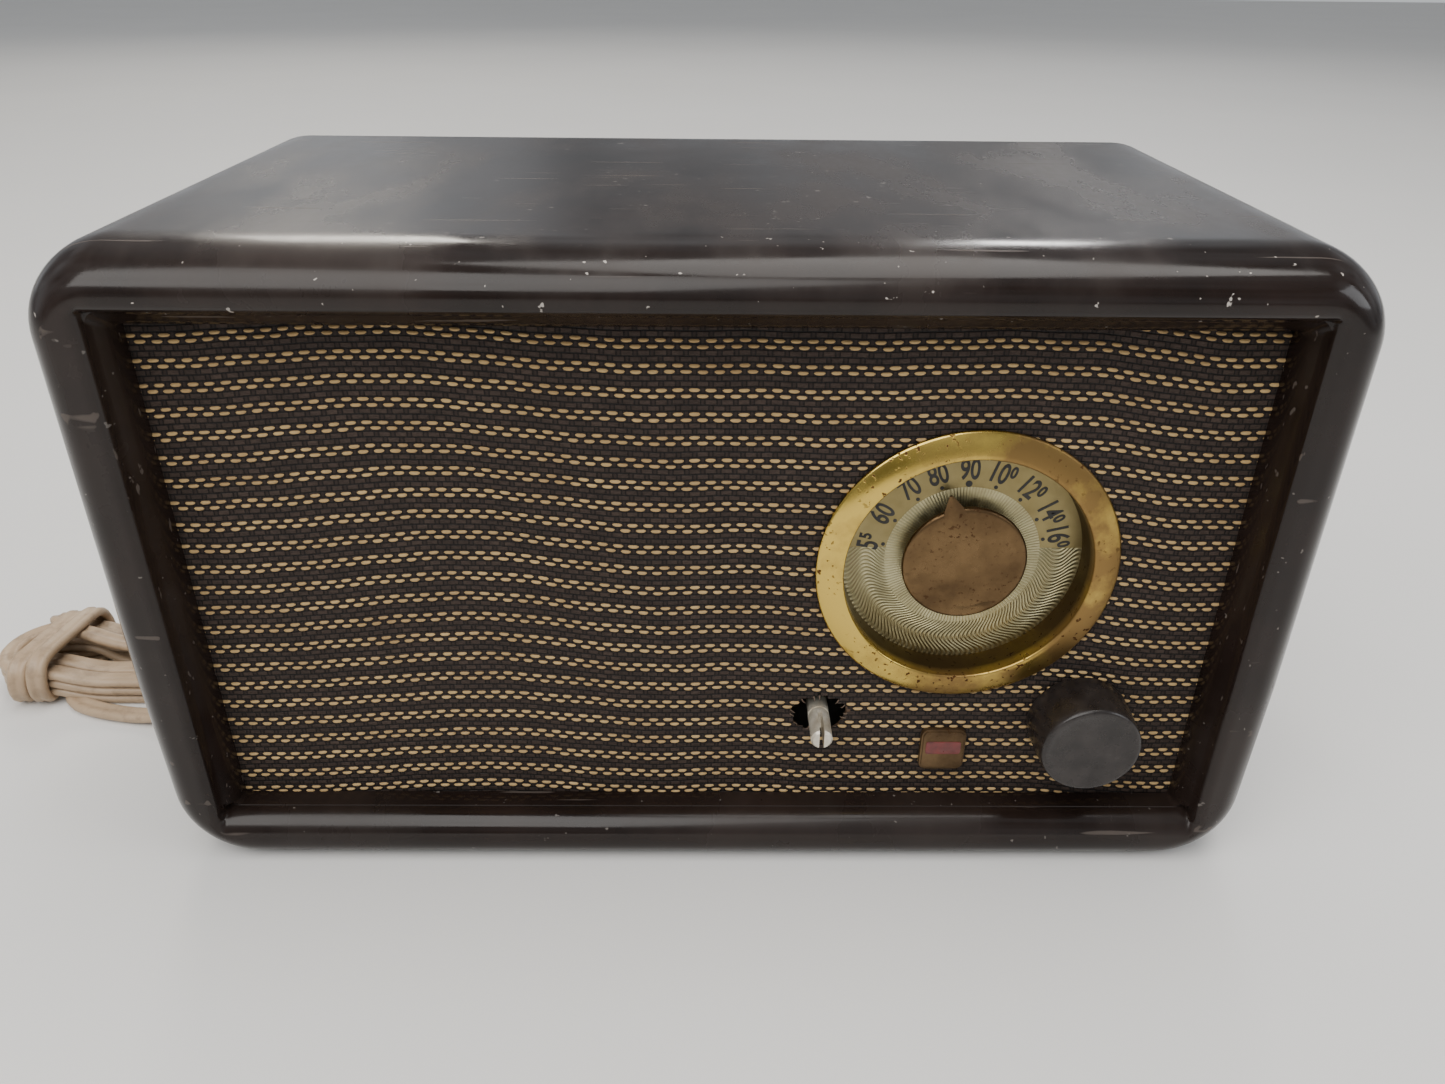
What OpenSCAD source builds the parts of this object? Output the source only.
// Tabletop valve radio: moulded cabinet with a rounded frame, woven grille cloth, round brass
// dial, tuning knob, bare volume shaft, chassis with five valves, loudspeaker, back cover, mains cord.
// +X is to the right as the front is seen, -Y is the front, +Z is up. The origin is on the
// surface that the radio stands on, in the middle of its own box without the cord.

/* [Cabinet] */
// Width over the sides
cabinet_w = 330; // [300:1:400]
// Height over the feet
cabinet_h = 186.5; // [170:0.5:230]
// Depth from the front lip to the back edge
cabinet_d = 165; // [150:1:200]
// Thickness of the moulded walls
wall = 4; // [3:0.5:5]
// Radius of the two upper long edges
top_radius = 22; // [14:1:30]
// Radius of the two lower long edges
bottom_radius = 22; // [12:1:26]
// How far each side draws in towards the bottom
side_draw = 1; // [0.5:0.5:6]
// Depth of the rounding around the front
front_round_depth = 20; // [12:1:26]
// How far the front edge is rounded inwards at the sides and top
front_round_inset = 11; // [6:0.5:11]
// Radius of the front's lower edge
front_low_radius = 6; // [3:0.5:8]
// Thickness of the four feet
foot_h = 1.5; // [1:0.25:4]

/* [Front opening] */
// Width of the opening at the cloth
opening_w = 287; // [250:1:289]
// Height of the opening at the cloth
opening_h = 150; // [130:1:152]
// Height of the lower edge of the opening above the surface
opening_z = 16.3; // [14:0.1:20]
// Depth from the front lip to the cloth
recess = 13.5; // [10:0.5:18]
// Draught of the side walls of the recess
recess_flare = 3.4; // [1:0.2:5]
// Draught of the lower wall of the recess
recess_flare_low = 0.5; // [0.2:0.1:2]
// Radius of the rolled edge under the opening
recess_low_round = 7.5; // [3:0.5:8]
// Draught of the upper wall of the recess
recess_flare_top = 5.2; // [1:0.2:6]
// Thickness of the baffle board
board_t = 3; // [2:0.5:5]
// Thickness of the grille cloth
cloth_t = 0.6; // [0.3:0.1:1]

/* [Dial] */
// Place of the dial's centre, to the right of the middle
dial_x = 71; // [60:0.5:80]
// Height of the dial's centre
dial_z = 96.8; // [92:0.2:104]
// Outside diameter of the brass bezel
bezel_d = 84; // [70:0.5:88]
// Inside diameter of the bezel
bezel_inside_d = 68.5; // [60:0.5:70]
// Depth of the bezel's cup behind the cloth
cup_depth = 7.5; // [5:0.5:9]
// Diameter of the pointer disc
pointer_d = 35; // [24:0.5:40]
// Reach of the pointer's tip from its axis
pointer_reach = 22.4; // [16:0.2:26]
// Angle of the pointer at rest, anticlockwise from the right
pointer_angle = 106; // [10:1:170]

/* [Controls] */
// Distance of each control from the dial's centre line
control_dx = 38.5; // [34:0.5:44]
// Height of the two control shafts
control_z = 46.4; // [44:0.2:50]
// Diameter of the control shafts
shaft_d = 6.35; // [6:0.05:6.5]
// Running clearance of a shaft in its bushing, on the radius
shaft_clear = 0.06; // [0.03:0.01:0.1]
// Diameter of the tuning knob
knob_d = 29; // [22:0.5:32]
// How far the knob stands out of the front lip
knob_proud = 3; // [1:0.5:6]
// Reach of the bare volume shaft in front of the cloth
volume_reach = 12; // [8:0.5:16]
// Diameter of the dial drum at the cord
drum_d = 59; // [50:0.5:64]

/* [Chassis] */
// Width of the chassis
chassis_w = 296; // [270:1:300]
// Depth of the chassis
chassis_d = 108; // [100:1:110]
// Height of the chassis deck
deck_z = 63; // [60:0.5:64]
// Thickness of the chassis sheet
sheet_t = 1.2; // [0.8:0.1:2]
// Diameter of the miniature valves
valve_d = 18.5; // [17:0.5:20]
// Height of the small valves above their sockets
valve_h = 47; // [40:1:52]
// Height of the power valves above their sockets
power_valve_h = 60; // [50:1:66]

/* [Loudspeaker] */
// Outside diameter of the loudspeaker
speaker_d = 100; // [90:1:104]
// Place of the loudspeaker, to the left of the middle
speaker_x = -70; // [-80:1:-64]
// Height of the loudspeaker's centre
speaker_z = 118; // [116:0.5:122]

/* [Mains cord] */
// Width of the flat cord
cord_w = 7; // [5:0.1:8]
// Thickness of the flat cord
cord_t = 3.5; // [2.5:0.1:4]
// Length of the hank
hank_len = 98; // [80:1:110]
// Width of the hank
hank_w = 37; // [30:0.5:44]
// Height of the hank
hank_h = 11; // [8:0.5:14]

/* [Hidden] */
$fn = 64;

eps = 0.01;
gap = 0.3;
front_y = knob_proud - (cabinet_d + knob_proud) / 2;
back_y = front_y + cabinet_d;
base_z = foot_h;
floor_z = base_z + wall;
cloth_y = front_y + recess;
board_y = cloth_y + cloth_t;
board_back = board_y + board_t;
inner_half = cabinet_w / 2 - wall;
inner_top = cabinet_h - wall;
lip_r = 3.2;

// Control and dial places
volume_x = dial_x - control_dx;
tuning_x = dial_x + control_dx;
shaft_r = shaft_d / 2;
bushing_bore = shaft_r + shaft_clear;
bushing_r = 4.76;
bushing_front = 4.5;
knob_front = front_y - knob_proud;
knob_back = cloth_y - 0.8;

// Dial stack, from the front to the back
plate_y = cloth_y + cup_depth;
plate_t = 0.6;
disc_y = plate_y - 4.6;
disc_t = 1.4;
drum_y = plate_y + plate_t + 3.4;
drum_w = 6;
groove_w = 2.4;
drum_r = drum_d / 2;
groove_y = drum_y + drum_w / 2;
belt_t = 1;
belt_gap = 0.35;
shaft_groove_r = shaft_r - 0.7;

// Chassis places
chassis_y = drum_y + drum_w + 4;
chassis_z = floor_z + 1.5;
chassis_back = chassis_y + chassis_d;
bolt_x = chassis_w / 2 - 18;
bolt_inset = 7;
flange_w = 14;
socket_h = 3;
socket_r = valve_d / 2 - 0.4;
valve_row_y = chassis_y + 76;
valve_pitch = 38;
converter_x = 3 * valve_pitch;
first_can_x = 2 * valve_pitch;
if_valve_x = valve_pitch;
second_can_x = 0;
detector_x = -valve_pitch;
output_x = -2 * valve_pitch;
rectifier_x = -3 * valve_pitch;

// Tuning capacitor
gang_y = chassis_y + 4;
gang_d = 38;
gang_half_w = 23;
gang_below = 23;
gang_above = 14;
gang_sheet = 1.5;
vane_r = 18;
vane_t = 0.6;
vane_pitch = 2.4;
vane_count = 9;
vane_y = gang_y + 6.5;
stator_in_r = 6;
stator_out_r = 20.5;
meshed_angle = 173;
vane_angle = pointer_angle - meshed_angle;

// Loudspeaker stack
speaker_r = speaker_d / 2;
gasket_t = 1.5;
basket_y = board_back + gasket_t;
rim_t = 1.2;
rim_w = 6.5;
cone_r = speaker_r - rim_w - 5.5;
stud_r = 1.5;
stud_at = speaker_r - rim_w / 2 + 3;
magnet_y = basket_y + 25;
magnet_r = 18;
magnet_d = 18;
pole_r = 8.8;
coil_in_r = 9.4;
coil_out_r = 10;
magnet_bore_r = 10.6;

// Back cover
back_t = 3;
back_cover_y = back_y - 6.5;
boss_r = 6;
boss_len = 12;
boss_x = inner_half - 13;
boss_low = floor_z + 16.5;
boss_high = inner_top - 15;
pilot_r = 1.35;
screw_r = 1.3;
exit_x = 37 - cabinet_w / 2;
exit_z = 20;
relief_neck_r = 5.5;
relief_len = 22;

// Route of the cord from the strain relief to the hank, from the exit and the back edge
route_shape = [
    [0, 14, 20], [0, 22, 19.6], [-1, 31, 17.5], [-4, 40, 13.5], [-9, 48, 9],
    [-16, 55, 5.2], [-25, 60, 3], [-36, 62, 2.1], [-47, 60, 2], [-57, 54, 2],
    [-64, 45, 2], [-68, 34, 2], [-70, 22, 2], [-71, 10, 2], [-72, -2, 2],
    [-74, -14, 2], [-78, -26, 2], [-85, -36, 2], [-94, -44, 2], [-103, -49.5, 2],
    [-112, -54, 2]
];
cord_route = [for (p = route_shape) [p[0] + exit_x, p[1] + back_y, p[2]]];
cord_sides = 10;
hank_x = exit_x - 40 - hank_len / 2;
hank_y = back_y - 73;

// ---- Shapes that repeat ----

// A rod along Y from y0 to y1
module rod_y(y0, y1, r) {
    translate([0, y1, 0]) rotate([90, 0, 0]) cylinder(h = y1 - y0, r = r);
}

// A flat plate that faces the front, drawn in X and Z, from y0 to y0 + t
module plate(y0, t) {
    translate([0, y0 + t, 0]) rotate([90, 0, 0]) linear_extrude(t) children();
}

// A body turned about the Y axis from points [radius, y]
module turned_y(points) {
    rotate([90, 0, 0]) rotate_extrude() polygon([for (p = points) [p[0], -p[1]]]);
}

module at_dial() { translate([dial_x, 0, dial_z]) children(); }
module at_volume() { translate([volume_x, 0, control_z]) children(); }
module at_tuning() { translate([tuning_x, 0, control_z]) children(); }
module at_speaker() { translate([speaker_x, 0, speaker_z]) children(); }

// A quarter arc of points about c, from angle a
function arc(c, r, a, steps = 10) =
    [for (i = [0 : steps]) [c[0] + r * cos(a + 90 * i / steps), c[1] + r * sin(a + 90 * i / steps)]];

// The cabinet's outline in X and Z, moved inwards by inset, or by low_inset at the bottom
function outline(inset, low_inset = -1) =
    let (
        rise = low_inset < 0 ? inset : low_inset,
        top_r = max(top_radius - inset, 2),
        low_r = max(bottom_radius - min(inset, rise), 2),
        half = cabinet_w / 2 - inset,
        foot = half - side_draw,
        low = base_z + rise,
        high = cabinet_h - inset
    )
    concat(
        arc([half - top_r, high - top_r], top_r, 0),
        arc([-half + top_r, high - top_r], top_r, 90),
        [[-half, base_z + (cabinet_h - base_z) / 3]],
        arc([-foot + low_r, low + low_r], low_r, 180),
        arc([foot - low_r, low + low_r], low_r, 270),
        [[half, base_z + (cabinet_h - base_z) / 3]]
    );

// A rectangle in X and Z with rounded corners
module rounded(w, h, r) {
    x = w / 2 - r;
    z = h / 2 - r;
    polygon(concat(
        arc([x, z], r, 0, 6), arc([-x, z], r, 90, 6),
        arc([-x, -z], r, 180, 6), arc([x, -z], r, 270, 6)
    ));
}

// ---- Cabinet ----

module cabinet_shape() {
    steps = 9;
    round_y = front_y + front_round_depth;
    hull() {
        plate(round_y, back_y - round_y) polygon(outline(0));
        for (i = [1 : steps]) {
            a = 90 * i / steps;
            behind = front_round_depth * (1 - sin(a));
            near = max(1 - behind / front_low_radius, 0);
            plate(front_y + behind, 0.1) polygon(outline(
                front_round_inset * (1 - cos(a)),
                front_low_radius * (1 - sqrt(1 - near * near))
            ));
        }
    }
}

// Edge of a recess wall as [spread, y] points, from the cloth out through the rounded lip
function recess_edge(flare, round_r = lip_r) = concat(
    [[0, cloth_y + 1], [0, cloth_y], [flare * 0.12, cloth_y - 4.5]],
    [
        for (i = [0 : 6])
            let (a = 15 * i)
            [flare + round_r * (1 - cos(a)), front_y + round_r * (1 - sin(a))]
    ],
    [[flare + round_r, front_y - 1]]
);

// The front opening: where the spread of its sides crosses the spread of its top and bottom
module front_opening() {
    side = recess_edge(recess_flare);
    top = recess_edge(recess_flare_top);
    low = recess_edge(recess_flare_low, recess_low_round);
    n = len(side) - 1;
    intersection() {
        linear_extrude(cabinet_h) polygon(concat(
            [for (p = side) [opening_w / 2 + p[0], p[1]]],
            [for (i = [n : -1 : 0]) [-opening_w / 2 - side[i][0], side[i][1]]]
        ));
        translate([cabinet_w / 2, 0, 0]) rotate([0, -90, 0]) linear_extrude(cabinet_w) polygon(concat(
            [for (p = top) [opening_z + opening_h + p[0], p[1]]],
            [for (i = [n : -1 : 0]) [opening_z - low[i][0], low[i][1]]]
        ));
    }
}

module bosses(r, y0, y1) {
    for (sx = [-1, 1], z = [boss_low, boss_high]) translate([sx * boss_x, 0, z]) rod_y(y0, y1, r);
}

module board_screw_places() {
    for (sx = [-1, 1], z = [opening_z - 3, opening_z + opening_h + 5])
        translate([sx * (opening_w / 2 + 4.5), 0, z]) children();
}

module bolt_places() {
    for (sx = [-1, 1], y = [chassis_y + bolt_inset, chassis_back - bolt_inset])
        translate([sx * bolt_x, y, 0]) children();
}

module cabinet() color("#2b1c17") {
    difference() {
        union() {
            difference() {
                cabinet_shape();
                plate(cloth_y, back_y - cloth_y + 1) polygon(outline(wall));
            }
            // Posts for the back cover's screws, each on a web from the side wall
            difference() {
                union() {
                    bosses(boss_r, back_cover_y - boss_len, back_cover_y);
                    intersection() {
                        for (sx = [-1, 1], z = [boss_low, boss_high])
                            translate([sx > 0 ? boss_x : -inner_half - 1, back_cover_y - boss_len, z - 2])
                                cube([inner_half + 1 - boss_x, boss_len, 4]);
                        plate(cloth_y, back_y - cloth_y) polygon(outline(wall / 2));
                    }
                }
                bosses(pilot_r, back_cover_y - boss_len - 1, back_cover_y + 1);
            }
            // Low pads that the chassis stands on
            bolt_places() translate([0, 0, floor_z - 1]) cylinder(h = chassis_z - floor_z + 1, r = 7);
        }
        front_opening();
        board_screw_places() rod_y(cloth_y - 5, cloth_y + 1, pilot_r);
        bolt_places() {
            translate([0, 0, base_z - 1]) cylinder(h = chassis_z + 2, r = 2.3);
            translate([0, 0, base_z - 1]) cylinder(h = 3.2, r = 5.2);
        }
    }
}

module feet() color("#3a3330") {
    foot_r = 8;
    for (sx = [-1, 1], y = [front_y + front_round_depth + foot_r + 0.5, back_y - 14])
        translate([sx * (cabinet_w / 2 - 31), y, 0]) cylinder(h = foot_h, r = foot_r);
}

// ---- Grille ----

module board_outline() intersection() {
    translate([0, opening_z + opening_h / 2 + 1]) square([opening_w + 19, opening_h + 18], center = true);
    polygon(outline(wall + 0.3));
}

module control_holes(r) {
    translate([volume_x, control_z]) circle(r);
    translate([tuning_x, control_z]) circle(r);
}

module baffle_board() color("#6b4a2e") difference() {
    plate(board_y, board_t) difference() {
        board_outline();
        translate([dial_x, dial_z]) circle(bezel_inside_d / 2 + 1.4);
        translate([speaker_x, speaker_z]) circle(speaker_r - rim_w);
        control_holes(8.5);
    }
    board_screw_places() rod_y(board_y - 1, board_back + 1, pilot_r + 0.4);
    at_speaker() speaker_stud_places() rod_y(board_y - 1, board_back + 1, stud_r);
}

module grille_cloth() color("#4a3527") plate(cloth_y, cloth_t) difference() {
    board_outline();
    translate([dial_x, dial_z]) circle(bezel_inside_d / 2 + 1.4);
    for (dx = [-2.7, 0, 2.7]) translate([volume_x + dx, control_z + 1.2]) circle(5.2);
    translate([tuning_x, control_z]) circle(5.5);
    for (sx = [-1, 1], z = [opening_z - 3, opening_z + opening_h + 5])
        translate([sx * (opening_w / 2 + 4.5), z]) circle(pilot_r + 0.4);
}

module board_screws() color("#8c8478") board_screw_places() {
    rod_y(cloth_y - 4, board_back, screw_r);
    turned_y([
        [0, board_back], [3.4, board_back], [3.2, board_back + 1],
        [2, board_back + 1.9], [0, board_back + 2]
    ]);
}

// ---- Dial ----

module dial_bezel() color("#b08d3a") at_dial() {
    r_out = bezel_d / 2;
    r_in = bezel_inside_d / 2;
    metal = 0.7;
    turned_y([
        [r_out, cloth_y], [r_out, cloth_y - 0.7], [r_out - 0.5, cloth_y - 1.1],
        [r_in + 1.2, cloth_y - 2.5], [r_in + 0.4, cloth_y - 2.5], [r_in, cloth_y - 2],
        [r_in - 0.5, plate_y], [r_in + metal - 0.1, plate_y],
        [r_in + metal + 0.4, cloth_y - 1.2], [r_out - 2, cloth_y]
    ]);
}

module dial_plate() color("#cdbf86") at_dial() plate(plate_y, plate_t) difference() {
    circle(bezel_inside_d / 2 + 3.5);
    circle(5.5);
}

module pointer_disc() color("#9a7a5c") at_dial() {
    hub_len = plate_y - gap - 0.3 - (disc_y + disc_t);
    difference() {
        union() {
            turned_y([
                [0, disc_y], [pointer_d / 2 - 1.5, disc_y], [pointer_d / 2 - 0.4, disc_y + 0.3],
                [pointer_d / 2, disc_y + 0.8], [pointer_d / 2, disc_y + disc_t], [0, disc_y + disc_t]
            ]);
            rod_y(disc_y + disc_t - eps, disc_y + disc_t + hub_len, 5);
        }
        rod_y(disc_y + 0.8, plate_y, shaft_r);
    }
    // Beak of the pointer, raised on the disc and reaching past its edge
    plate(disc_y - 0.8, 1.4) rotate(pointer_angle)
        polygon([
            [7, 0], [12, -3.2], [17, -2.9], [pointer_reach, -0.4],
            [pointer_reach, 0.4], [16, 3.4], [11, 2.6]
        ]);
}

module badge() color("#9c7b3c") translate([dial_x - 0.4, 0, 34.5]) {
    plate(cloth_y - 1.6, 1.6) rounded(13.6, 15, 2.4);
    plate(cloth_y - 2.3, 0.7) rounded(12.4, 13.8, 1.9);
}

// ---- Tuning drive ----

module tuning_knob() color("#241a17") at_tuning() {
    r = knob_d / 2;
    difference() {
        turned_y([
            [0, knob_front + 0.9], [r - 5, knob_front + 0.7], [r - 2.2, knob_front + 0.15],
            [r - 1.2, knob_front], [r - 0.5, knob_front + 0.25], [r - 0.1, knob_front + 1],
            [r, knob_front + 2], [r + 0.4, knob_back], [0, knob_back]
        ]);
        difference() {
            rod_y(knob_back - 8, knob_back + 1, r - 2.6);
            rod_y(knob_back - 9, knob_back + 2, 6);
        }
        rod_y(knob_front + 4, knob_back + 1, shaft_r + 0.03);
    }
}

module tuning_shaft() color("#b9b2a2") at_tuning() {
    difference() {
        rod_y(knob_front + 5, chassis_y + sheet_t + 7, shaft_r);
        // Groove that the dial cord runs in
        difference() {
            rod_y(groove_y - groove_w / 2, groove_y + groove_w / 2, shaft_r + 1);
            rod_y(groove_y - groove_w, groove_y + groove_w, shaft_groove_r);
        }
    }
}

// A threaded bushing through the front apron with its nut
module bushing(front) {
    difference() {
        union() {
            rod_y(front, chassis_y + sheet_t + 5, bushing_r);
            plate(chassis_y + sheet_t, 2) circle(d = 14);
            plate(chassis_y - 2.2, 2.2) circle(d = 14, $fn = 6);
        }
        rod_y(front - 1, chassis_y + sheet_t + 6, bushing_bore);
    }
}

module tuning_bushing() color("#a59a84") at_tuning() bushing(groove_y + groove_w / 2 + 1.5);

module shaft_clip() color("#77716a") at_tuning() difference() {
    rod_y(chassis_y + sheet_t + 5.3, chassis_y + sheet_t + 6, 5.4);
    rod_y(chassis_y + sheet_t + 5, chassis_y + sheet_t + 7, shaft_r);
}

module dial_drum() color("#b8b3a6") at_dial() difference() {
    turned_y([
        [0, drum_y], [drum_r + 1.8, drum_y], [drum_r + 1.8, groove_y - groove_w / 2],
        [drum_r, groove_y - groove_w / 2 + 0.3], [drum_r, groove_y + groove_w / 2 - 0.3],
        [drum_r + 1.8, groove_y + groove_w / 2], [drum_r + 1.8, drum_y + drum_w], [0, drum_y + drum_w]
    ]);
    rod_y(drum_y - 1, drum_y + drum_w + 1, shaft_r);
    // Three windows that lighten the drum, one of which holds the cord's spring
    for (a = [30, 150, 270])
        plate(drum_y - 1, drum_w + 2) rotate(a) translate([16.5, 0]) square([17, 14], center = true);
}

// The endless cord round the drum and the tuning shaft
module dial_cord() color("#c9bd9c") {
    big = drum_r + belt_gap;
    small = shaft_groove_r + belt_gap;
    plate(groove_y - belt_t / 2, belt_t) difference() {
        hull() {
            translate([dial_x, dial_z]) circle(big + belt_t, $fn = 72);
            translate([tuning_x, control_z]) circle(small + belt_t, $fn = 32);
        }
        hull() {
            translate([dial_x, dial_z]) circle(big, $fn = 72);
            translate([tuning_x, control_z]) circle(small, $fn = 32);
        }
    }
}

// Points of a helix of radius r about X, with n turns over length len
function helix(r, len, n, steps) =
    [for (i = [0 : steps]) [len * i / steps, r * cos(360 * n * i / steps), r * sin(360 * n * i / steps)]];

function unit(v) = v / norm(v);

// One tube swept along points, with an oval section: half width a across, half height b upwards
module sweep(points, a, b, sides) {
    n = len(points);
    rings = [
        for (i = [0 : n - 1])
            let (
                t = unit(points[min(i + 1, n - 1)] - points[max(i - 1, 0)]),
                across = unit(cross([0, 0, 1], t)),
                above = cross(t, across)
            )
            for (k = [0 : sides - 1])
                points[i] + across * a * cos(360 * k / sides) + above * b * sin(360 * k / sides)
    ];
    faces = concat(
        [[for (k = [sides - 1 : -1 : 0]) k]],
        [[for (k = [0 : sides - 1]) (n - 1) * sides + k]],
        [
            for (i = [0 : n - 2], k = [0 : sides - 1])
                [
                    i * sides + k, i * sides + (k + 1) % sides,
                    (i + 1) * sides + (k + 1) % sides, (i + 1) * sides + k
                ]
        ]
    );
    polyhedron(rings, faces);
}

module cord_spring() color("#8d8a84") at_dial() rotate([0, -30, 0]) translate([9.2, groove_y, 0])
    sweep(helix(1.6, 14.6, 8, 96), 0.3, 0.3, 8);

// ---- Tuning capacitor ----

module capacitor_frame() color("#aaa79c") at_dial() {
    difference() {
        union() {
            for (y = [gang_y, gang_y + gang_d - gang_sheet])
                plate(y, gang_sheet) translate([-gang_half_w, -gang_below])
                    square([2 * gang_half_w, gang_below + gang_above]);
            translate([-gang_half_w, gang_y, -gang_below]) cube([2 * gang_half_w, gang_d, gang_sheet]);
        }
        rod_y(gang_y - 1, gang_y + gang_d + 1, bushing_bore);
    }
}

module capacitor_rotor() color("#c4c3bd") at_dial() {
    rod_y(disc_y + 0.8, gang_y + gang_d + 2, shaft_r);
    for (i = [0 : vane_count - 1])
        plate(vane_y + i * vane_pitch, vane_t) rotate(vane_angle) intersection() {
            circle(vane_r);
            translate([0, -vane_r]) square([vane_r, 2 * vane_r]);
        }
}

module capacitor_stator() color("#bdbcb4") at_dial() {
    for (i = [0 : vane_count - 2])
        plate(vane_y + (i + 0.5) * vane_pitch, vane_t) difference() {
            intersection() {
                circle(stator_out_r);
                translate([0.5, -stator_out_r]) square([stator_out_r, 2 * stator_out_r]);
            }
            circle(stator_in_r);
        }
    // Two combs that join the vanes
    for (sz = [-1, 1])
        translate([15, vane_y - 1.2, sz > 0 ? 11.6 : -15.6]) cube([2, vane_pitch * (vane_count - 1) + 3, 4]);
}

module stator_bars() color("#8a5a34") at_dial() for (z = [11.6, -15.6])
    for (y = [gang_y + gang_sheet, vane_y - 1.2 + vane_pitch * (vane_count - 1) + 3])
        translate([12, y, z]) cube([8, y < vane_y ? vane_y - 1.2 - y : gang_y + gang_d - gang_sheet - y, 4]);

module capacitor_grommets() color("#3b3735") {
    below = dial_z - gang_below;
    for (dx = [-16, 16], dy = [8, gang_d - 8])
        translate([dial_x + dx, gang_y + dy, deck_z]) cylinder(h = below - deck_z, r = 4.5);
}

// ---- Volume control ----

module volume_shaft() color("#cfc8b4") at_volume() {
    tip_y = cloth_y - volume_reach;
    slot_len = 10;
    neck_y = cloth_y - 1;
    neck_r = 2.9;
    body_r = shaft_r - 0.05;
    difference() {
        turned_y([
            [0, tip_y], [shaft_r - 0.6, tip_y], [shaft_r, tip_y + 0.7], [shaft_r, neck_y],
            [neck_r, neck_y], [neck_r, neck_y + 1.2], [body_r, neck_y + 1.2],
            [body_r, chassis_y + sheet_t + 6], [0, chassis_y + sheet_t + 6]
        ]);
        translate([-0.7, tip_y - 1, -shaft_r - 1]) cube([1.4, slot_len + 1, shaft_d + 2]);
    }
}

module volume_bushing() color("#a59a84") at_volume() difference() {
    union() {
        rod_y(chassis_y - bushing_front, chassis_y + sheet_t + 0.8, bushing_r);
        plate(chassis_y - 2.2, 2.2) circle(d = 14, $fn = 6);
    }
    rod_y(chassis_y - bushing_front - 1, chassis_y + sheet_t + 2, bushing_bore);
}

module volume_control() color("#b9a788") at_volume() {
    pot_r = 12;
    y0 = chassis_y + sheet_t + 0.8;
    difference() {
        rod_y(y0, y0 + 10, pot_r);
        rod_y(y0 - 1, y0 + 6, shaft_r + gap);
    }
    // Three tags below the body
    for (dx = [-6, 0, 6]) translate([dx - 1.2, y0 + 3, -pot_r - 6]) cube([2.4, 0.8, 8]);
}

module power_switch() color("#5b4a3a") at_volume() {
    y0 = chassis_y + sheet_t + 10.8;
    rod_y(y0, y0 + 8, 10.5);
    for (sx = [-1, 1]) translate([sx * 5 - 1.2, y0 + 8, -2]) cube([2.4, 6, 0.8]);
}

// ---- Chassis ----

valve_xs = [converter_x, if_valve_x, detector_x, output_x, rectifier_x];

module chassis() color("#9fa19c") {
    x0 = -chassis_w / 2;
    difference() {
        union() {
            difference() {
                translate([x0, chassis_y, chassis_z]) cube([chassis_w, chassis_d, deck_z - chassis_z]);
                translate([x0 + sheet_t, chassis_y + sheet_t, chassis_z - 1])
                    cube([
                        chassis_w - 2 * sheet_t, chassis_d - 2 * sheet_t,
                        deck_z - chassis_z + 1 - sheet_t
                    ]);
            }
            for (y = [chassis_y, chassis_back - flange_w])
                translate([x0, y, chassis_z]) cube([chassis_w, flange_w, sheet_t]);
        }
        at_volume() rod_y(chassis_y - 1, chassis_y + sheet_t + 1, bushing_r);
        at_tuning() rod_y(chassis_y - 1, chassis_y + sheet_t + 1, bushing_r);
        for (x = valve_xs)
            translate([x, valve_row_y, deck_z - sheet_t - 1]) cylinder(h = sheet_t + 2, r = 7);
        bolt_places() translate([0, 0, chassis_z - 1]) cylinder(h = sheet_t + 2, r = 2);
        // Slot that the loudspeaker's wires pass through
        translate([speaker_x - 8, chassis_y + 30, deck_z - sheet_t - 1]) cube([16, 6, sheet_t + 2]);
    }
}

module chassis_bolts() color("#8c8478") bolt_places() {
    translate([0, 0, base_z]) cylinder(h = 2.2, d = 9.2, $fn = 6);
    translate([0, 0, base_z + 2.1]) cylinder(h = chassis_z + sheet_t + 2.6 - base_z - 2.1, r = 1.95);
    translate([0, 0, chassis_z + sheet_t]) cylinder(h = 2.6, d = 8, $fn = 6);
}

module pin_circle(count, missing) {
    for (i = [0 : count - 1]) rotate(360 * (i + 0.5) / (count + missing)) translate([4.75, 0, 0]) children();
}

module valve_sockets() color("#3b2b20") for (x = valve_xs) translate([x, valve_row_y, 0]) difference() {
    translate([0, 0, deck_z - 5]) union() {
        cylinder(h = 5 + socket_h, r = 6.9);
        translate([0, 0, 5]) cylinder(h = socket_h, r = socket_r);
    }
    translate([0, 0, deck_z - 3.4]) pin_circle(7, 1) cylinder(h = 8, r = 0.75);
}

// A miniature valve: a closed glass bulb with a drawn tip on a ring of seven pins
module valve(x, h) {
    z0 = deck_z + socket_h;
    r = valve_d / 2;
    translate([x, valve_row_y, z0]) {
        rotate_extrude() polygon([
            [0, 0], [r - 1.6, 0], [r - 0.5, 0.6], [r, 2], [r, h - 9], [r - 0.6, h - 6.4], [r - 2.4, h - 4.2],
            [r - 5.2, h - 3], [2.4, h - 2.4], [1.6, h - 1.4], [0.7, h], [0, h]
        ]);
        translate([0, 0, -6]) pin_circle(7, 1) cylinder(h = 6.1, r = 0.5);
    }
}

module converter_valve() color("#c8ccd0") valve(converter_x, valve_h);
module if_valve() color("#c8ccd0") valve(if_valve_x, valve_h);
module detector_valve() color("#c8ccd0") valve(detector_x, valve_h);
module output_valve() color("#c8ccd0") valve(output_x, power_valve_h);
module rectifier_valve() color("#c8ccd0") valve(rectifier_x, power_valve_h);

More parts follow.
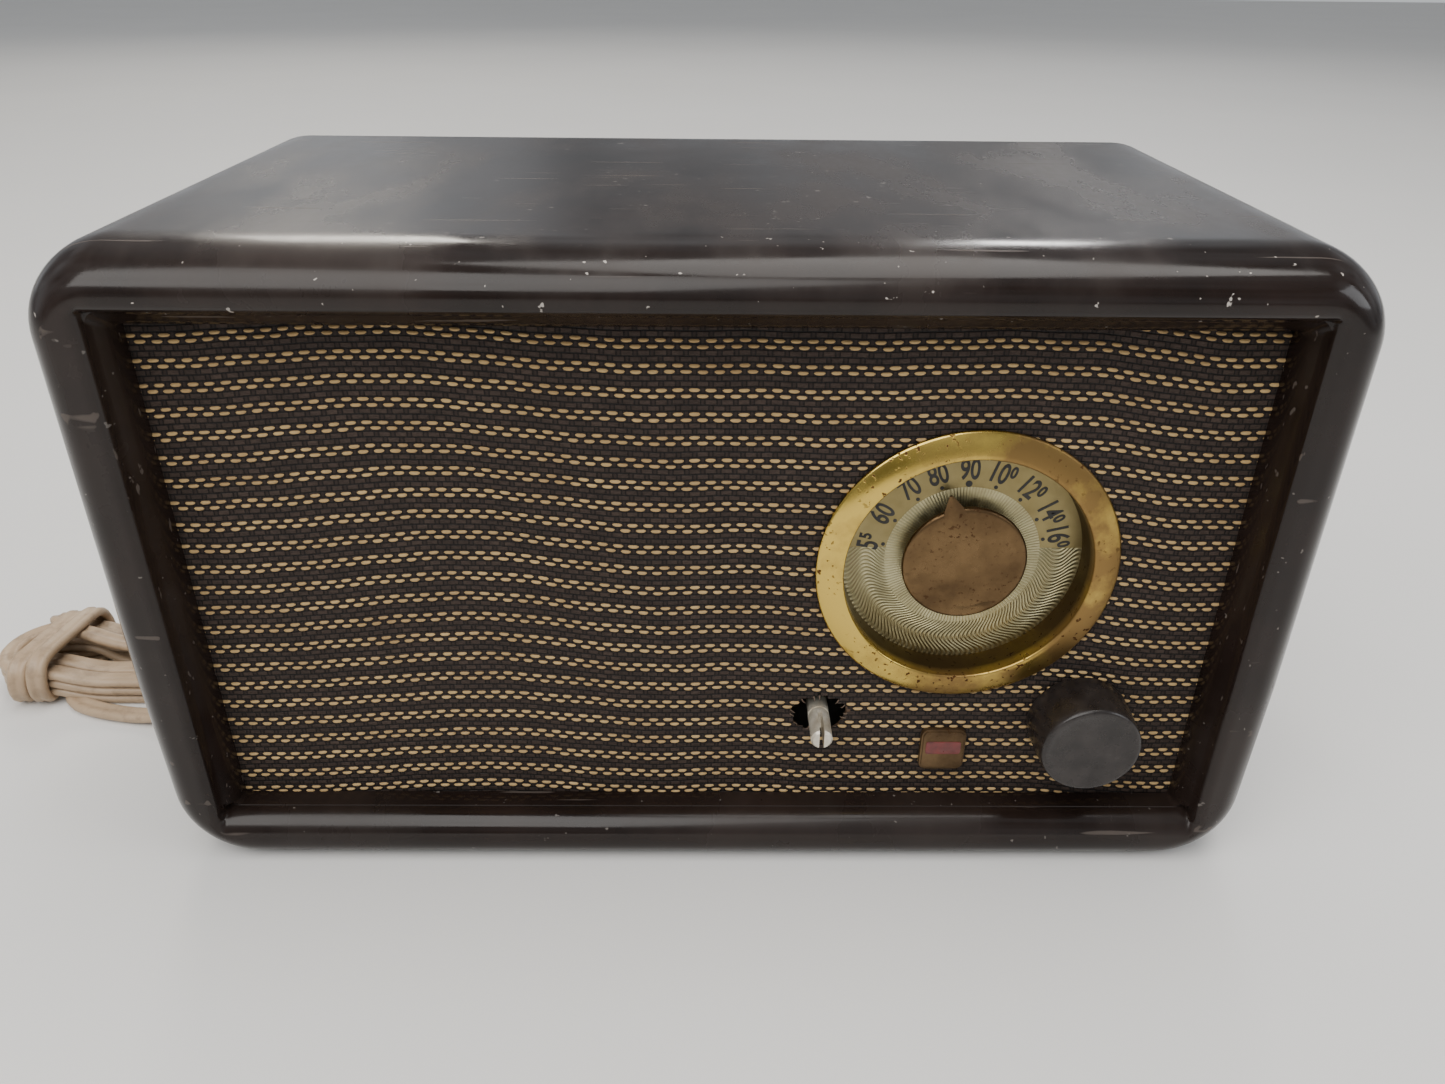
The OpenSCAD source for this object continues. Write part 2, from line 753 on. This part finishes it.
// A square screening can with a hole for the trimming tool in its top
module screening_can(x) {
    side = 19;
    h = 48;
    translate([x, valve_row_y, deck_z]) difference() {
        linear_extrude(h) rounded(side, side, 2);
        translate([0, 0, -1]) linear_extrude(h) rounded(side - 1.6, side - 1.6, 1.4);
        translate([0, 0, h - 2]) cylinder(h = 3, r = 2.4);
    }
}

module first_if_can() color("#c3c2bb") screening_can(first_can_x);
module second_if_can() color("#c3c2bb") screening_can(second_can_x);

module filter_capacitor() color("#b7b6ae") translate([-132, chassis_y + 24, deck_z]) {
    cylinder(h = 58, r = 12.7);
    cylinder(h = 2, r = 15);
}

module oscillator_coil() color("#a8743a") translate([tuning_x - 20, chassis_y + 58, deck_z - sheet_t]) {
    translate([0, 0, -30]) difference() {
        cylinder(h = 30, r = 5);
        translate([0, 0, -1]) cylinder(h = 28, r = 3.6);
    }
    translate([0, 0, -20]) cylinder(h = 10, r = 7);
}

module transformer_core() color("#4e4a46") translate([4, chassis_y + 22, deck_z]) difference() {
    translate([-17, -7, 0]) cube([34, 14, 28]);
    for (sx = [-1, 1]) translate([sx * 8.5 - 3, -8, 5.5]) cube([6, 16, 17]);
}

module transformer_coil() color("#b98a4a") translate([4, chassis_y + 22, deck_z]) difference() {
    translate([-11.5, -13, 5.5]) cube([23, 26, 17]);
    translate([-5.5, -7, 4]) cube([11, 14, 20]);
}

strip_y = chassis_y + 56;
strip_z = deck_z - sheet_t - 22;
strip_len = 120;

module tag_strip() color("#7a4a22") translate([-30, strip_y, strip_z]) {
    translate([-strip_len / 2, 0, 0]) cube([strip_len, 1.6, 10]);
    for (dx = [-40, 40]) translate([dx - 4, 1.6, 0]) cube([8, 1, 22]);
}

// A wired part along Y: a body of radius r and length len between two wires
module wired_part(x, y0, y1, r, len) {
    translate([x, 0, strip_z + 5]) {
        rod_y(y0, y1, 0.45);
        rod_y((y0 + y1 - len) / 2, (y0 + y1 + len) / 2, r);
    }
}

module resistors() color("#8a4b2a") for (i = [0 : 5])
    wired_part(-80 + 20 * i, strip_y - 34, strip_y, 2.2, 11);

module paper_capacitors() color("#c9a45c") for (i = [0 : 3])
    wired_part(-60 + 20 * i, strip_y + 1.6, strip_y + 38, 4.6, 24);

// ---- Loudspeaker ----

module speaker_stud_places() {
    for (a = [45 : 90 : 315]) translate([stud_at * cos(a), 0, stud_at * sin(a)]) children();
}

module speaker_gasket() color("#57493c") at_speaker() plate(board_back, gasket_t) difference() {
    circle(speaker_r);
    circle(speaker_r - rim_w);
    for (a = [45 : 90 : 315]) rotate(a) translate([stud_at, 0]) circle(2.4);
}

module speaker_basket() color("#6f6e69") at_speaker() difference() {
    union() {
        turned_y([
            [speaker_r, basket_y], [speaker_r, basket_y + rim_t], [speaker_r - rim_w + 2, basket_y + rim_t],
            [magnet_r + 4, magnet_y], [0, magnet_y], [0, magnet_y - 1.2], [magnet_r + 3, magnet_y - 1.2],
            [speaker_r - rim_w, basket_y + 1], [speaker_r - rim_w, basket_y]
        ]);
        // Four ears that the studs pass through
        speaker_stud_places() rod_y(basket_y, basket_y + rim_t, 5);
    }
    speaker_stud_places() rod_y(basket_y - 1, basket_y + rim_t + 1, 1.8);
    rod_y(magnet_y - 2, magnet_y + 1, magnet_bore_r);
    // Windows between the four legs
    for (a = [0 : 90 : 270])
        plate(basket_y + 5, 17) rotate(a) translate([36, 0]) square([16, 34], center = true);
}

module speaker_magnet() color("#8e8d88") at_speaker() {
    difference() {
        rod_y(magnet_y, magnet_y + magnet_d, magnet_r);
        rod_y(magnet_y - 1, magnet_y + 4, magnet_bore_r);
        rod_y(magnet_y + 3.9, magnet_y + magnet_d - 4, 12.5);
    }
    rod_y(magnet_y, magnet_y + magnet_d - 4, pole_r);
}

module speaker_surround() color("#2f2a26") at_speaker() turned_y([
    [cone_r + gap, basket_y + 3], [cone_r + gap, basket_y + 2.4], [cone_r + 2.6, basket_y + 0.2],
    [cone_r + 4, basket_y], [speaker_r - rim_w, basket_y], [speaker_r - rim_w, basket_y + 0.6],
    [cone_r + 4, basket_y + 0.8], [cone_r + 2.8, basket_y + 1]
]);

module speaker_cone() color("#3a322c") at_speaker() {
    t = 0.7;
    throat = magnet_y - 5;
    turned_y([
        [cone_r, basket_y + 2.4], [cone_r, basket_y + 2.4 + t],
        [coil_out_r, throat + t], [coil_in_r, throat + t],
        [coil_in_r, throat - t], [coil_out_r + 1, throat - t]
    ]);
    // Dust cap over the voice coil
    turned_y([
        [0, throat - 5], [5, throat - 4.2], [9, throat - 2.2], [11.4, throat - t], [coil_in_r, throat - t],
        [8.6, throat - 1.8], [4.8, throat - 3.6], [0, throat - 4.4]
    ]);
}

module voice_coil() color("#b87333") at_speaker() {
    y0 = magnet_y - 5 + 0.7;
    difference() {
        rod_y(y0, magnet_y + 5, coil_out_r);
        rod_y(y0 - 1, magnet_y + 6, coil_in_r);
    }
}

module speaker_spider() color("#b39a6a") at_speaker() plate(magnet_y - 1.9, 0.7) difference() {
    circle(magnet_r - 1);
    circle(coil_out_r + gap);
}

module speaker_nuts() color("#8c8478") at_speaker() speaker_stud_places() {
    rod_y(board_y, basket_y + rim_t + 5, stud_r);
    plate(basket_y + rim_t, 2.4) circle(d = 6.6, $fn = 6);
}

// ---- Back ----

module back_cover() color("#5a3e28") difference() {
    plate(back_cover_y, back_t) polygon(outline(wall + 0.5));
    bosses(screw_r + 0.5, back_cover_y - 1, back_cover_y + back_t + 1);
    translate([exit_x, 0, exit_z]) rod_y(back_cover_y - 1, back_cover_y + back_t + 1, relief_neck_r);
    // Rows of ventilation holes
    for (row = [0 : 3], i = [-6 : 6])
        translate([i * 20, 0, cabinet_h - 30 - row * 16])
            rod_y(back_cover_y - 1, back_cover_y + back_t + 1, 3.5);
    for (i = [-4 : 6]) translate([i * 20, 0, 30]) rod_y(back_cover_y - 1, back_cover_y + back_t + 1, 3.5);
}

module loop_antenna() color("#8c4a24") plate(back_cover_y - 2, 2) translate([0, 80]) difference() {
    rounded(266, 70, 14);
    rounded(242, 46, 6);
}

module back_screws() color("#8c8478") for (sx = [-1, 1], z = [boss_low, boss_high])
    translate([sx * boss_x, 0, z]) {
        head = back_cover_y + back_t;
        rod_y(back_cover_y - boss_len + 2, head, screw_r);
        difference() {
            turned_y([[0, head], [3.8, head], [3.6, head + 1.2], [2.2, head + 2.3], [0, head + 2.6]]);
            translate([-4, head + 1.4, -0.5]) cube([8, 2, 1]);
        }
    }

// ---- Mains cord ----

module strain_relief() color("#2c2622") translate([exit_x, 0, exit_z]) {
    y1 = back_cover_y + back_t;
    difference() {
        turned_y([
            [0, back_cover_y - 2], [8, back_cover_y - 2], [8, back_cover_y], [relief_neck_r, back_cover_y],
            [relief_neck_r, y1], [7.5, y1], [7.5, y1 + 2],
            [6, y1 + 3], [4.6, y1 + relief_len], [0, y1 + relief_len]
        ]);
        translate([-cord_w / 2, cord_route[0][1], -cord_t / 2]) cube([cord_w, 12, cord_t]);
    }
}

module power_cord() color("#b49c7c") sweep(cord_route, cord_w / 2, cord_t / 2, cord_sides);

module cord_hank() color("#b49c7c") translate([hank_x, hank_y, 0]) linear_extrude(hank_h) {
    square([hank_len - hank_w, hank_w], center = true);
    for (sx = [-1, 1]) translate([sx * (hank_len - hank_w) / 2, 0]) circle(hank_w / 2);
}

plug_x = exit_x - 50;
plug_y = back_y - 82;
plug_len = 24;
plug_w = 22;
plug_h = 13;
blade_pitch = 12.7;

module plug_body() color("#4a382c") translate([plug_x, plug_y, hank_h]) difference() {
    neck = 4;
    union() {
        translate([-plug_w / 2, neck, 0]) cube([plug_w, plug_len - neck, plug_h]);
        translate([-plug_w / 2 + 4, 0, 0]) cube([plug_w - 8, neck, plug_h]);
    }
    translate([-cord_w / 2, -1, (plug_h - cord_t) / 2]) cube([cord_w, 7, cord_t]);
}

module plug_blades() color("#c2a35a") translate([plug_x, plug_y + plug_len, hank_h + plug_h / 2])
    for (sx = [-1, 1]) translate([sx * blade_pitch / 2 - 0.75, 0, -3.2]) difference() {
        cube([1.5, 15, 6.4]);
        translate([-1, 11.5, 3.2]) rotate([0, 90, 0]) cylinder(h = 4, r = 1.6);
    }

cabinet();
feet();
baffle_board();
grille_cloth();
board_screws();
dial_bezel();
dial_plate();
pointer_disc();
badge();
tuning_knob();
tuning_shaft();
tuning_bushing();
shaft_clip();
volume_shaft();
volume_bushing();
volume_control();
power_switch();
dial_drum();
dial_cord();
cord_spring();
capacitor_frame();
capacitor_rotor();
capacitor_stator();
stator_bars();
capacitor_grommets();
chassis();
chassis_bolts();
valve_sockets();
converter_valve();
if_valve();
detector_valve();
output_valve();
rectifier_valve();
first_if_can();
second_if_can();
filter_capacitor();
oscillator_coil();
transformer_core();
transformer_coil();
tag_strip();
resistors();
paper_capacitors();
speaker_gasket();
speaker_basket();
speaker_magnet();
speaker_surround();
speaker_cone();
voice_coil();
speaker_spider();
speaker_nuts();
back_cover();
loop_antenna();
back_screws();
strain_relief();
power_cord();
cord_hank();
plug_body();
plug_blades();
